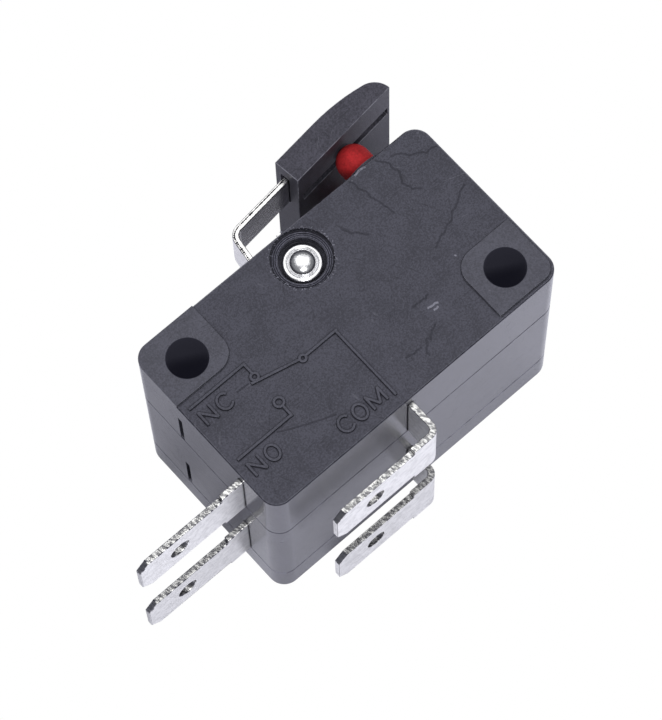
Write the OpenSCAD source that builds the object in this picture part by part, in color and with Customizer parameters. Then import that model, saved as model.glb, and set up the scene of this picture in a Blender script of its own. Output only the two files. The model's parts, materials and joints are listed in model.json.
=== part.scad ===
// Double-pole lever micro switch: two identical snap switches stacked under one lever.
//
// X runs along the switch, from the NC/NO end (-X) to the far end (+X).
// Y runs across it, from the common terminals (-Y) to the plungers (+Y).
// Z runs up through the stack. The origin is on the axis of the far mounting hole,
// at the flat bottom face that the switch rests on.

/* [Housing] */
// Length of the housing along X
body_l = 28.3; // [27.8:0.1:28.6]
// Width of the housing across Y
body_w = 16.1; // [15.9:0.1:16.4]
// Radius of the four upright corners
corner_r = 1.4; // [1:0.1:2]
// Thickness of the outer walls
wall_t = 1.6; // [1.4:0.1:1.8]
// Chamfer along the edges of each moulded layer
edge_chamfer = 0.1; // [0.05:0.05:0.2]

/* [Stack] */
// Thickness of the bottom cover
cover_h = 3.2; // [3:0.1:3.4]
// Distance from one pole to the next, which is the middle housing's height
pole_pitch = 10.2; // [10:0.1:10.4]
// Height of the upper housing, without its raised pads
upper_h = 6.8; // [6.6:0.1:7]
// Depth of the space that holds each mechanism
cavity_h = 5.8; // [5.7:0.05:5.8]
// Height of the pads around the mounting holes
pad_h = 0.2; // [0.1:0.05:0.3]

/* [Mounting] */
// Diameter of the two mounting holes
hole_d = 3.2; // [3.1:0.05:3.3]
// Distance between the mounting holes along X
hole_dx = 22.2; // [22.1:0.1:22.3]
// Distance between the mounting holes across Y
hole_dy = 10.3; // [10.2:0.1:10.4]

/* [Terminals] */
// Width of the terminal tabs
tab_w = 4.8; // [4.6:0.1:5]
// Width of the terminal roots behind the shoulders
root_w = 5.7; // [5.6:0.05:5.7]
// Thickness of the terminal sheet
tab_t = 0.5; // [0.5:0.05:0.6]
// Length of the straight terminals outside the end wall
no_reach = 9.95; // [9.5:0.05:10.5]
// Diameter of the hole in each tab
tab_hole_d = 1.7; // [1.4:0.1:1.8]

/* [Lever] */
// Width of the metal lever strip
lever_w = 4; // [3.6:0.1:4.2]
// Thickness of the metal lever strip
lever_t = 0.5; // [0.4:0.05:0.6]
// Length of the moulded cap along the lever
cap_l = 10.35; // [9.8:0.05:10.5]
// Thickness of the moulded cap
cap_t = 2.3; // [2.2:0.1:2.5]
// Width of the moulded cap, across both poles
cap_w = 17.4; // [16.8:0.1:17.6]

/* [Plunger] */
// Diameter of the plunger pins
plunger_d = 2.8; // [2.7:0.05:2.95]

/* [Hidden] */
$fn = 48;
eps = 0.1;

// Heights of the layers and of the two poles
upper_z = cover_h + pole_pitch;
face_z = upper_z + upper_h;
pole_mid = cavity_h / 2;

// Outline of the housing and its inner walls
hole_edge_x = (body_l - hole_dx) / 2;
hole_edge_y = (body_w - hole_dy) / 2;
x_end = hole_edge_x - body_l;
y_com = -hole_edge_y;
y_top = y_com + body_w;
x_in = [x_end + wall_t, hole_edge_x - wall_t];
y_in = [y_com + wall_t, y_top - wall_t];
hole_r = hole_d / 2;
hole_far = [0, 0];
hole_near = [-hole_dx, hole_dy];
boss_r = 3;

// Raised pads: distance from the hole to the pad's straight edges, its corner and inset
pad_far = [2.85, 2.75];
pad_near = [2.95, 2.3];
pad_r = 1.7;
pad_inset = 0.3;

// Rivet and its stepped recess
rivet_pos = [-10.65, 10.65];
rivet_r = 1;
rivet_clear = 0.03;
rivet_boss_r = 2.3;
recess_r = [2.45, 1.85];
recess_d = [0.5, 1.3];
rivet_head_r = 1.57;
rivet_rim = 0.45;
rivet_dome_r = 1.05;
rivet_dome_lift = 0.05;
tail_recess = [2.1, 1];
tail_head = [1.75, 0.75];

// Locating pegs between the layers
peg_pos = [[-22.7, -0.95], [-6.6, 10.2]];
peg_r = 0.8;
peg_h = 1.4;
peg_boss_r = 1.5;
peg_clear = 0.05;

// Pivots of one pole: lever, rocker and contact arm
lever_pivot = [-13.4, 11.7];
rocker_pivot = [-9.5, 3];
arm_pivot = [-6.3, 5.4];
pivot_r = 0.5;
trunnion_w = 0.8;

// Plunger: the pin's place, off the middle of its foot, and heights at rest
plunger_x = -1.88;
plunger_z = pole_mid + 1.2;
foot_x = -1.4;
dome_y = 14.76;
plunger_clear = 0.05;
collar_r = 2.1;
collar_h = 0.35;
foot = [5, 1, 5.2];
foot_top = y_in[1] - 0.05;
nose_r = 1.2;
nose_y = 10.1;

// Terminal heights and places
no_y = 0.9;
nc_y = 7.83;
nc_slit = [0.45, 4.4];
nc_slit_depth = 2.8;
com_x = -12.05;
com_tab_y = -5.75;
com_tip_x = -22;
com_shoulder_x = -14.4;
no_tip_x = x_end - no_reach;
no_shoulder_x = x_end - 2;
no_step_x = [-22.9, -22];
no_inner_x = -18.1;
hole_setback = 3.75;
tip_chamfer = 0.83;
slot_clear = 0.05;

// Contacts
contact_x = -19.5;
contact_r = 1.2;
no_contact_h = 0.7;
no_contact_y = 3.02;
moving_head = [1.1, 0.7];
moving_tail = [0.8, 0.3];
moving_shank_r = 0.6;
stop_size = [1.8, 1.3];
stop_gap = 0.04;

// Contact arm: a blade with a window for the spring
arm_t = 0.3;
arm_w = 4;
arm_left = -20.8;
arm_right = -5.9;
window = [[-16, -7.4], 2.2];

// Common frame: ears that carry the two pivots
frame_y = 0.85;
frame_w = 5.4;
frame_end = -5.3;
ear_t = 0.5;
ear_points = [
    [-11.2, frame_y], [frame_end, frame_y], [frame_end, 5.8], [-5.9, 6.4],
    [-7.1, 6.3], [-8.6, 4.3], [-10.6, 4], [-11.2, 3.2]
];

// Rocker strip
rocker_t = 0.4;
rocker_w = 3.4;
rocker_pad_y = 8.68;
rocker_wall_x = -5;
rocker_end_x = -0.3;
sheet_bend_r = 0.5;

// Tension spring
spring_from = [-16.9, 5.75];
spring_to = [rocker_wall_x, 6.25];
spring_len = norm(spring_to - spring_from);
spring_slope = atan2(spring_to[1] - spring_from[1], spring_to[0] - spring_from[0]);
wire_r = 0.15;
coil_r = 0.78;
coil_turns = 15;
coil_span = [1.7, spring_len - 2.9];
coil_steps = 12;
coil_lead = 0.5;
hook_drop = [0.9, 0.7];
hook_past = 0.6;
wire_sides = 6;

// Lever: the leg's top end, the strip's slope and where it runs inside the cap
lever_slope = 6.4;
lever_back = -6;
lever_reach = 8.2;
lever_bend_r = 0.9;
lever_bead_r = 0.65;
socket_r = 0.7;
socket_block = [4, 4];
socket_floor = 1.6;
socket_clear = 0.05;
pocket_waist = [-0.45, 0.5];
pocket_mouth = [-0.35, 1.15];
lever_z = upper_z + pole_mid - lever_w / 2;
lever_play = 0.1;
cap_corner = [-6.7, 15.66];
cap_strip_n = 1.23;
cap_over = 1.5;
cap_top_z = lever_z + lever_w + cap_over;
cap_back_r = 18;
cap_nose_r = 1.7;
cap_groove = [0.4, 1.1];
cap_groove_z = 15.25;
cap_groove_ends = [0.6, 0.25];
slot_mouth = [0.9, 0.3, 0.15];

// ---- Bent sheet: an outline worked out from the middle line of the strip ----

function unit(v) = v / norm(v);
function left_of(v) = [-v[1], v[0]];
function span(mid, width) = [mid - width / 2, mid + width / 2];

// Points of a round bend of middle radius r at corner b, between a and c
function bend(a, b, c, r, steps = 6) =
    let (
        u = unit(a - b),
        v = unit(c - b),
        half = acos(u * v) / 2,
        centre = b + unit(u + v) * r / sin(half),
        from = b + u * r / tan(half) - centre,
        side = sign(u[1] * v[0] - u[0] * v[1]),
        turn = side * (180 - 2 * half)
    )
    [for (i = [0 : steps])
        let (a = turn * i / steps)
        centre + [from[0] * cos(a) - from[1] * sin(a), from[0] * sin(a) + from[1] * cos(a)]];

function bent_path(pts, r) = concat(
    [pts[0]],
    [for (i = [1 : len(pts) - 2]) each bend(pts[i - 1], pts[i], pts[i + 1], r)],
    [pts[len(pts) - 1]]
);

// Offset direction at point i, lengthened on a bend so the sheet keeps its thickness
function mitre(p, i) =
    let (
        before = unit(p[max(i, 1)] - p[max(i, 1) - 1]),
        after = unit(p[min(i, len(p) - 2) + 1] - p[min(i, len(p) - 2)]),
        n = unit(left_of(before) + left_of(after))
    )
    n / (n * left_of(after));

function strip_outline(p, t) = concat(
    [for (i = [0 : len(p) - 1]) p[i] + mitre(p, i) * t / 2],
    [for (i = [len(p) - 1 : -1 : 0]) p[i] - mitre(p, i) * t / 2]
);

// Sheet of thickness t and width w, bent along pts, centred on height z
module bent_sheet(pts, t, w, z, r = 0.6) {
    translate([0, 0, z - w / 2])
        linear_extrude(w)
            polygon(strip_outline(bent_path(pts, r), t));
}

module rod_y(r, from, to, x, z) {
    translate([x, to, z])
        rotate([90, 0, 0])
            cylinder(r = r, h = to - from);
}

module box(x, y, z) {
    translate([x[0], y[0], z[0]])
        cube([x[1] - x[0], y[1] - y[0], z[1] - z[0]]);
}

module at_pole(upper) {
    translate([0, 0, upper ? upper_z : cover_h])
        children();
}

// ---- Housing layers ----

// Centres of the round corners, along X and along Y
corner_x = [x_end + corner_r, hole_edge_x - corner_r];
corner_y = [y_com + corner_r, y_top - corner_r];

module outline_2d(inset = 0) {
    for (x = corner_x, y = corner_y)
        translate([x, y])
            circle(corner_r - inset);
    translate([corner_x[0], y_com + inset])
        square([corner_x[1] - corner_x[0], body_w - 2 * inset]);
    translate([x_end + inset, corner_y[0]])
        square([body_l - 2 * inset, corner_y[1] - corner_y[0]]);
}

// Side profile of a layer with chamfered edges
module chamfered_2d(from, to, h) {
    c = edge_chamfer;
    polygon([
        [from + c, 0], [to - c, 0], [to, c], [to, h - c],
        [to - c, h], [from + c, h], [from, h - c], [from, c]
    ]);
}

module layer(z, h) {
    translate([0, 0, z]) {
        for (x = corner_x, y = corner_y)
            translate([x, y, 0])
                rotate_extrude()
                    intersection() {
                        square([corner_r, h]);
                        chamfered_2d(-corner_r, corner_r, h);
                    }
        translate([0, corner_y[1], 0])
            rotate([90, 0, 0])
                linear_extrude(corner_y[1] - corner_y[0])
                    chamfered_2d(x_end, hole_edge_x, h);
        translate([corner_x[0], 0, 0])
            rotate([90, 0, 90])
                linear_extrude(corner_x[1] - corner_x[0])
                    chamfered_2d(y_com, y_top, h);
    }
}

module through_holes(z, h) {
    for (p = [hole_far, hole_near])
        translate([p[0], p[1], z - eps])
            cylinder(r = hole_r, h = h + 2 * eps);
    translate([rivet_pos[0], rivet_pos[1], z - eps])
        cylinder(r = rivet_r + rivet_clear, h = h + 2 * eps);
}

// Boss around a mounting hole, filled out to the corner it stands in
module hole_boss_2d(p, side) {
    big = 2 * boss_r;
    translate(p)
        mirror([side < 0 ? 1 : 0, 0])
            mirror([0, side < 0 ? 1 : 0]) {
                circle(boss_r);
                translate([0, -big])
                    square([big, big + boss_r]);
                translate([-boss_r, -big])
                    square([boss_r + big, big]);
            }
}

// Everything that stays solid inside the walls of one pole
module solid_parts_2d() {
    hole_boss_2d(hole_far, 1);
    hole_boss_2d(hole_near, -1);
    translate(rivet_pos)
        circle(rivet_boss_r);
    for (p = peg_pos)
        translate(p)
            circle(peg_boss_r);
    translate([peg_pos[0][0] - 2 * peg_boss_r, peg_pos[0][1] - 2 * peg_boss_r])
        square([2 * peg_boss_r, 3 * peg_boss_r]);
    translate([peg_pos[0][0] - 2 * peg_boss_r, peg_pos[0][1] - 2 * peg_boss_r])
        square([3 * peg_boss_r, 2 * peg_boss_r]);
    translate([peg_pos[1][0] - peg_boss_r, peg_pos[1][1]])
        square([2 * peg_boss_r, 2 * peg_boss_r]);
    translate([rivet_pos[0] - rivet_boss_r, rivet_pos[1]])
        square([2 * rivet_boss_r, 2 * rivet_boss_r]);
    // block around the lever's socket
    translate([lever_pivot[0] - socket_block[0] / 2, lever_pivot[1] - socket_floor])
        square(socket_block);
    // stop that the moving contact rests against
    translate([contact_x - stop_size[0] / 2, arm_pivot[1] + arm_t / 2 + moving_tail[1] + stop_gap])
        square(stop_size);
}

module cavity_2d() {
    difference() {
        translate([x_in[0], y_in[0]])
            square([x_in[1] - x_in[0], y_in[1] - y_in[0]]);
        solid_parts_2d();
    }
}

// Space for one mechanism, with its slots, plunger bore and peg sockets
module pole_space() {
    translate([0, 0, -eps]) {
        linear_extrude(cavity_h + eps)
            cavity_2d();
        // open slot of the straight terminal
        slot = tab_t / 2 + slot_clear;
        box([x_end - eps, x_in[0] + eps], [no_y - slot, no_y + slot], [0, cavity_h + eps]);
        // unused slit of the normally closed contact
        slit = nc_slit[0] / 2;
        box([x_end - eps, x_end + nc_slit_depth], [nc_y - slit, nc_y + slit], [0, nc_slit[1] + eps]);
        // slot of the common terminal
        box([com_x - slot, com_x + slot], [y_com - eps, y_in[0] + eps], [0, cavity_h + eps]);
        for (p = peg_pos)
            translate(p)
                cylinder(r = peg_r + peg_clear, h = peg_h + 2 * eps);
    }
    rod_y(plunger_d / 2 + plunger_clear, y_in[1] - eps, y_top + collar_h + eps, plunger_x, plunger_z);
}

module pegs(z) {
    for (p = peg_pos)
        translate([p[0], p[1], z - eps])
            cylinder(r = peg_r, h = peg_h + eps);
}

module plunger_collar() {
    rod_y(collar_r, y_top - eps, y_top + collar_h, plunger_x, plunger_z);
}

// Keyhole pocket of the lever: a round socket with a mouth that lets the leg swing
module lever_pocket_2d() {
    mouth = y_top - lever_pivot[1] + eps;
    translate(lever_pivot) {
        circle(socket_r);
        polygon([
            [pocket_waist[0], 0], [pocket_waist[1], 0],
            [pocket_mouth[1], mouth], [pocket_mouth[0], mouth]
        ]);
    }
}

module pad_2d(p, reach, side) {
    big = 6;
    translate(p)
        mirror([side > 0 ? 1 : 0, 0])
            mirror([0, side < 0 ? 1 : 0]) {
                translate([-big, -big])
                    square([big + reach[0] - pad_r, big + reach[1]]);
                translate([-big, -big])
                    square([big + reach[0], big + reach[1] - pad_r]);
                translate(reach - [pad_r, pad_r])
                    circle(pad_r);
            }
}

// The far pad stands back from the walls; the near one is flush with them
module raised_pads() {
    translate([0, 0, face_z - edge_chamfer])
        linear_extrude(pad_h + edge_chamfer) {
            intersection() {
                pad_2d(hole_far, pad_far, 1);
                outline_2d(pad_inset);
            }
            intersection() {
                pad_2d(hole_near, pad_near, -1);
                outline_2d();
            }
        }
}

module upper_housing() {
    color([0.27, 0.27, 0.31])
        difference() {
            union() {
                layer(upper_z, upper_h);
                raised_pads();
                at_pole(true)
                    plunger_collar();
            }
            at_pole(true)
                pole_space();
            through_holes(upper_z, upper_h + pad_h);
            translate([0, 0, upper_z - eps])
                linear_extrude(lever_z + lever_w + lever_play - upper_z + eps)
                    lever_pocket_2d();
            for (i = [0, 1])
                translate([rivet_pos[0], rivet_pos[1], face_z - recess_d[i]])
                    cylinder(r = recess_r[i], h = recess_d[i] + eps);
        }
}

module middle_housing() {
    key_h = lever_z - lever_play - upper_z;
    color([0.30, 0.30, 0.34])
        difference() {
            union() {
                layer(cover_h, pole_pitch);
                pegs(upper_z);
                at_pole(false)
                    plunger_collar();
                // key that closes the lever's pocket from below
                translate([lever_pivot[0], lever_pivot[1], upper_z - eps])
                    cylinder(r = socket_r - socket_clear, h = key_h + eps);
            }
            at_pole(false)
                pole_space();
            through_holes(cover_h, pole_pitch);
        }
}

module bottom_cover() {
    color([0.30, 0.30, 0.34])
        difference() {
            union() {
                layer(0, cover_h);
                pegs(cover_h);
            }
            through_holes(0, cover_h);
            translate([rivet_pos[0], rivet_pos[1], -eps])
                cylinder(r = tail_recess[0], h = tail_recess[1] + eps);
        }
}

// ---- Rivet: a factory head below, and a rolled rim round a dome above ----

module rivet() {
    seat = face_z - recess_d[1];
    rim = rivet_rim;
    rim_mid = rivet_head_r - rim / 2;
    color([0.82, 0.82, 0.84])
        translate([rivet_pos[0], rivet_pos[1], 0])
            rotate_extrude() {
                translate([0, tail_recess[1]])
                    square([rivet_r, seat - tail_recess[1] + rim]);
                translate([0, tail_recess[1] - tail_head[1]])
                    square(tail_head);
                translate([0, seat])
                    square([rim_mid, rim]);
                translate([rim_mid, seat + rim / 2])
                    circle(rim / 2);
                translate([rim_mid, seat])
                    square([rim / 2, rim / 2]);
                intersection() {
                    translate([0, seat + rivet_dome_lift])
                        circle(rivet_dome_r);
                    translate([0, seat])
                        square(rivet_dome_r + eps);
                }
            }
}

// ---- Lever ----

// Carries a child drawn along the lever's slope, from the cap's lower near corner
module along_lever() {
    translate([cap_corner[0], cap_corner[1], 0])
        rotate(lever_slope)
            children();
}

function on_lever(s, n) = cap_corner + [
    s * cos(lever_slope) - n * sin(lever_slope),
    s * sin(lever_slope) + n * cos(lever_slope)
];

module lever_strip() {
    mid = lever_z + lever_w / 2;
    near = on_lever(lever_back, cap_strip_n);
    end = on_lever(lever_reach, cap_strip_n);
    color([0.80, 0.80, 0.82])
        union() {
            bent_sheet([lever_pivot, near, end], lever_t, lever_w, mid, lever_bend_r);
            // rolled bead that turns in the socket
            translate([lever_pivot[0], lever_pivot[1], lever_z])
                cylinder(r = lever_bead_r, h = lever_w);
        }
}

// Cap's outline: a straight back that bows down into a small round nose.
// The two arcs meet where both stand at angle a to the back.
module cap_2d() {
    a = acos(1 - (cap_t - cap_nose_r) / (cap_back_r - cap_nose_r));
    nose_x = cap_l - cap_nose_r;
    meet = [nose_x + cap_nose_r * sin(a), cap_nose_r * cos(a)];
    bow_x = meet[0] - cap_back_r * sin(a);
    square([bow_x, cap_t]);
    intersection() {
        translate([bow_x, cap_t - cap_back_r])
            circle(cap_back_r, $fn = 240);
        translate([bow_x - eps, 0])
            square([meet[0] - bow_x + eps, cap_t]);
    }
    intersection() {
        translate([nose_x, 0])
            circle(cap_nose_r);
        translate([nose_x, 0])
            square([cap_nose_r + eps, cap_nose_r]);
    }
}

module lever_cap() {
    strip_z = [lever_z, lever_z + lever_w];
    mouth_n = span(cap_strip_n, lever_t + 2 * slot_clear) + [0, slot_mouth[1]];
    color([0.25, 0.25, 0.28])
        along_lever()
            difference() {
                translate([0, 0, cap_top_z - cap_w])
                    linear_extrude(cap_w)
                        cap_2d();
                // slot that takes the metal strip, wider at its mouth
                box([-eps, lever_reach], span(cap_strip_n, lever_t), strip_z);
                box([-eps, slot_mouth[0]], mouth_n, strip_z + slot_mouth[2] * [-1, 1]);
                // groove along the face that meets the plungers
                box([cap_groove_ends[0], cap_l - cap_groove_ends[1]], [-eps, cap_groove[0]],
                    [cap_groove_z, cap_groove_z + cap_groove[1]]);
            }
}

// ---- Pieces of one pole, drawn with z = 0 at the layer's parting plane ----

module plunger() {
    color([0.66, 0.15, 0.17]) {
        translate([plunger_x, dome_y, plunger_z])
            sphere(plunger_d / 2);
        rod_y(plunger_d / 2, foot_top - eps, dome_y, plunger_x, plunger_z);
        box(span(foot_x, foot[0]), [foot_top - foot[1], foot_top], span(pole_mid, foot[2]));
        rod_y(nose_r, nose_y, foot_top - foot[1] + eps, foot_x, pole_mid);
        translate([foot_x, nose_y, pole_mid])
            sphere(nose_r);
    }
}

// Narrows a terminal past its shoulders, bevels the tip and drills the hole
module tab_cuts(tip_x, shoulder_x, y) {
    depth = 2;
    cut = tip_chamfer * sqrt(2);
    for (side = [-1, 1]) {
        edge = pole_mid + side * tab_w / 2;
        box([tip_x - eps, shoulder_x], span(y, depth), span(edge + side / 2, 1));
        translate([tip_x, y, edge])
            rotate([0, 45, 0])
                cube([cut, depth, cut], center = true);
    }
    rod_y(tab_hole_d / 2, y - depth / 2, y + depth / 2, tip_x + hole_setback, pole_mid);
}

module no_terminal() {
    tongue_y = no_contact_y - tab_t / 2;
    color([0.80, 0.80, 0.82])
        difference() {
            bent_sheet(
                [[no_tip_x, no_y], [no_step_x[0], no_y], [no_step_x[1], tongue_y],
                 [no_inner_x, tongue_y]],
                tab_t, root_w, pole_mid, sheet_bend_r
            );
            tab_cuts(no_tip_x, no_shoulder_x, no_y);
        }
}

module no_contact() {
    color([0.86, 0.84, 0.78])
        translate([contact_x, no_contact_y, pole_mid])
            rotate([-90, 0, 0])
                cylinder(r = contact_r, h = no_contact_h);
}

module com_terminal() {
    color([0.80, 0.80, 0.82])
        difference() {
            union() {
                bent_sheet(
                    [[com_tip_x, com_tab_y], [com_x, com_tab_y], [com_x, frame_y],
                     [frame_end, frame_y]],
                    tab_t, root_w, pole_mid
                );
                for (side = [-1, 1])
                    translate([0, 0, pole_mid + side * (frame_w - ear_t) / 2 - ear_t / 2])
                        linear_extrude(ear_t)
                            polygon(ear_points);
            }
            tab_cuts(com_tip_x, com_shoulder_x, com_tab_y);
            for (p = [rocker_pivot, arm_pivot])
                translate([p[0], p[1], -eps])
                    cylinder(r = pivot_r, h = cavity_h + 2 * eps);
        }
}

// Flat bar that crosses both ears and turns in their holes
module trunnion(p, t) {
    reach = frame_w - 0.1;
    translate([p[0], p[1], pole_mid])
        cube([trunnion_w, t, reach], center = true);
}

module arm() {
    y = arm_pivot[1];
    color([0.72, 0.48, 0.30])
        difference() {
            union() {
                box([arm_left, arm_right], span(y, arm_t), span(pole_mid, arm_w));
                trunnion(arm_pivot, arm_t);
            }
            box(window[0], span(y, 2), span(pole_mid, window[1]));
            rod_y(moving_shank_r, y - 1, y + 1, contact_x, pole_mid);
            rod_y(wire_r + 0.1, y - 1, y + 1, spring_from[0], pole_mid);
        }
}

module moving_contact() {
    y = arm_pivot[1];
    half = arm_t / 2;
    color([0.86, 0.84, 0.78]) {
        rod_y(moving_head[0], y - half - moving_head[1], y - half, contact_x, pole_mid);
        rod_y(moving_shank_r, y - half - eps, y + half + eps, contact_x, pole_mid);
        rod_y(moving_tail[0], y + half, y + half + moving_tail[1], contact_x, pole_mid);
    }
}

module rocker() {
    color([0.75, 0.75, 0.77])
        difference() {
            union() {
                bent_sheet(
                    [rocker_pivot, [rocker_wall_x, rocker_pivot[1]],
                     [rocker_wall_x, rocker_pad_y], [rocker_end_x, rocker_pad_y]],
                    rocker_t, rocker_w, pole_mid, sheet_bend_r
                );
                trunnion(rocker_pivot, rocker_t);
            }
            translate([rocker_wall_x - 1, spring_to[1], pole_mid])
                rotate([0, 90, 0])
                    cylinder(r = wire_r + 0.15, h = 2);
        }
}

hook_bend = 0.25;
hook_x = spring_len + hook_past;

// Middle line of the spring wire along its own X axis: lead, coil, lead
function spring_path() = concat(
    [[0, -hook_drop[0], 0], [0, -hook_bend, 0], [hook_bend / 3, -hook_bend / 3, 0],
     [hook_bend, 0, 0], [coil_span[0] - coil_lead, 0, 0]],
    [for (i = [0 : coil_turns * coil_steps])
        let (a = 360 * i / coil_steps, f = i / (coil_turns * coil_steps))
        [coil_span[0] + f * (coil_span[1] - coil_span[0]), -coil_r * cos(a), coil_r * sin(a)]],
    [[coil_span[1] + coil_lead, 0, 0], [hook_x - hook_bend, 0, 0],
     [hook_x - hook_bend / 3, -hook_bend / 3, 0], [hook_x, -hook_bend, 0], [hook_x, -hook_drop[1], 0]]
);

function tangent(p, i) = unit(p[min(i + 1, len(p) - 1)] - p[max(i - 1, 0)]);

// Side direction carried along the wire, kept square to it at each point
function carried(p) = [
    for (i = 0, n = [0, 0, 1]; i < len(p);
         i = i + 1,
         n = i < len(p) ? let (t = tangent(p, i)) unit(n - (n * t) * t) : n) n
];

module wire(p, r, sides) {
    n = carried(p);
    rings = [for (i = [0 : len(p) - 1], k = [0 : sides - 1])
        let (a = 360 * k / sides, b = cross(tangent(p, i), n[i]))
        p[i] + r * (cos(a) * n[i] + sin(a) * b)];
    last = (len(p) - 1) * sides;
    polyhedron(rings, concat(
        [[for (k = [0 : sides - 1]) k]],
        [for (i = [0 : len(p) - 2], k = [0 : sides - 1])
            let (a = i * sides + k, b = i * sides + (k + 1) % sides)
            [a, a + sides, b + sides, b]],
        [[for (k = [sides - 1 : -1 : 0]) last + k]]
    ));
}

module spring() {
    color([0.70, 0.70, 0.73])
        translate([spring_from[0], spring_from[1], pole_mid])
            rotate(spring_slope)
                wire(spring_path(), wire_r, wire_sides);
}

// ---- The two poles ----

module upper_plunger() { at_pole(true) plunger(); }
module upper_no_terminal() { at_pole(true) no_terminal(); }
module upper_no_contact() { at_pole(true) no_contact(); }
module upper_com_terminal() { at_pole(true) com_terminal(); }
module upper_arm() { at_pole(true) arm(); }
module upper_moving_contact() { at_pole(true) moving_contact(); }
module upper_rocker() { at_pole(true) rocker(); }
module upper_spring() { at_pole(true) spring(); }
module lower_plunger() { at_pole(false) plunger(); }
module lower_no_terminal() { at_pole(false) no_terminal(); }
module lower_no_contact() { at_pole(false) no_contact(); }
module lower_com_terminal() { at_pole(false) com_terminal(); }
module lower_arm() { at_pole(false) arm(); }
module lower_moving_contact() { at_pole(false) moving_contact(); }
module lower_rocker() { at_pole(false) rocker(); }
module lower_spring() { at_pole(false) spring(); }

upper_housing();
middle_housing();
bottom_cover();
rivet();
lever_strip();
lever_cap();
upper_plunger();
upper_no_terminal();
upper_no_contact();
upper_com_terminal();
upper_arm();
upper_moving_contact();
upper_rocker();
upper_spring();
lower_plunger();
lower_no_terminal();
lower_no_contact();
lower_com_terminal();
lower_arm();
lower_moving_contact();
lower_rocker();
lower_spring();
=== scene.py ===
"""Looks of the lever micro switch: dressed pieces, finishes and a plain studio around the fixed frame."""

import json
import math

import bmesh
import bpy
from bpy.props import FloatProperty, FloatVectorProperty, IntProperty, PointerProperty
from mathutils import Matrix, Vector


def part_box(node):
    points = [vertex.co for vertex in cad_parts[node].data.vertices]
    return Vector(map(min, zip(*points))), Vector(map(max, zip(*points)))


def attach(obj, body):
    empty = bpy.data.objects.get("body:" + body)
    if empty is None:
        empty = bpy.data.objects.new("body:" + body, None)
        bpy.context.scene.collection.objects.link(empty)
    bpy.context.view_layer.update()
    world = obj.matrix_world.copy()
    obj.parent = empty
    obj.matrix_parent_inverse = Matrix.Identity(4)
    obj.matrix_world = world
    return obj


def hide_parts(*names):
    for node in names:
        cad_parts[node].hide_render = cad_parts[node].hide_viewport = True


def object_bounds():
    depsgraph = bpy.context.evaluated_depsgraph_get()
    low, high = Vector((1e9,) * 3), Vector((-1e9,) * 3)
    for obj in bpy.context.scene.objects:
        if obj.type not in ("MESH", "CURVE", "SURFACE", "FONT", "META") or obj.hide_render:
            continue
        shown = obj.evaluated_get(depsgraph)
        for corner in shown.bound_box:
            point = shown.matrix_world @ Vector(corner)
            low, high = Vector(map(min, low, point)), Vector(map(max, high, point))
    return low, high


bl_info = {
    "name": "Lever Micro Switch",
    "version": (1, 0, 0),
    "blender": (4, 5, 0),
    "location": "3D View > Sidebar > Micro Switch",
    "description": "Dresses a two-pole lever micro switch and lights it in a plain studio",
    "category": "Object",
}

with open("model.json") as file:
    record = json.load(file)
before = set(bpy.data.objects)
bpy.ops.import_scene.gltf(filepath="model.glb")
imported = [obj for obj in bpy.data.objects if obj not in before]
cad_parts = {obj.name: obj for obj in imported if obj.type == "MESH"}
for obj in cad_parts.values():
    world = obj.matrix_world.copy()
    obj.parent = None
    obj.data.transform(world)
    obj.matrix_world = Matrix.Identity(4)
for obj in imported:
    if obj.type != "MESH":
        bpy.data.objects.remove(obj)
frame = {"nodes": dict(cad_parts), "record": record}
CAD_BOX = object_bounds()
MM = 0.001
POLES = ("upper", "lower")
PAD_HEIGHT = 0.2 * MM
FACE_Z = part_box("upper_housing")[1].z - PAD_HEIGHT
RIVET_LO, RIVET_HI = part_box("rivet")
RIVET_X, RIVET_Y = ((RIVET_LO + RIVET_HI) / 2).xy
HOLES = [m for m in frame["record"]["mounts"] if m["kind"] == "bore"]


def pole_z(pole):
    low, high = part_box(pole + "_plunger")
    return (low.z + high.z) / 2


# ---------------------------------------------------------------- sizes and colours


def length_value(name, description, millimetres):
    """A length that the user may change, given in millimetres and kept in metres."""
    return FloatProperty(
        name=name, description=description, default=millimetres * MM, unit="LENGTH", precision=6)


def colour_value(name, description, default):
    """A colour that the user may change."""
    return FloatVectorProperty(
        name=name, description=description, subtype="COLOR", default=default, min=0, max=1)


class StageSettings(bpy.types.PropertyGroup):
    """Camera, floor and lights."""

    aim: FloatVectorProperty(
        name="Aim", description="Point the camera looks at", subtype="XYZ", unit="LENGTH",
        default=(-0.012085, 0.006055, 0.0102), precision=5)
    azimuth: FloatProperty(
        name="Azimuth", description="Compass direction from the aim to the camera, from +X",
        default=math.radians(-129.07), subtype="ANGLE")
    elevation: FloatProperty(
        name="Elevation", description="Height of the camera above the horizon",
        default=math.radians(69.851), subtype="ANGLE")
    roll: FloatProperty(
        name="Roll", description="Turn of the camera about its own axis",
        default=math.radians(-2.654), subtype="ANGLE")
    distance: FloatProperty(
        name="Distance", description="From the aim to the camera", default=0.26507, unit="LENGTH")
    lens: FloatProperty(
        name="Lens", description="Focal length on a 36 mm sensor", default=173.38, unit="CAMERA")
    floor_size: FloatProperty(
        name="Floor size", description="Side of the floor", default=3.0, unit="LENGTH")
    softbox_power: FloatProperty(
        name="Softbox power", description="Power of the overhead softbox", default=1.5, unit="POWER")
    softbox_size: FloatVectorProperty(
        name="Softbox size", description="Width and depth of the overhead softbox", size=2,
        default=(0.70, 0.55), unit="LENGTH")
    sun_strength: FloatProperty(
        name="Sun strength", description="Strength of the broad key light", default=1.5, min=0)
    sun_spread: FloatProperty(
        name="Sun spread", description="Angle that the key light fills, which softens its shadows",
        default=math.radians(16), subtype="ANGLE")
    floor_glow: FloatProperty(
        name="Floor glow", description="Light that the floor itself gives off", default=0.28, min=0)


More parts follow.
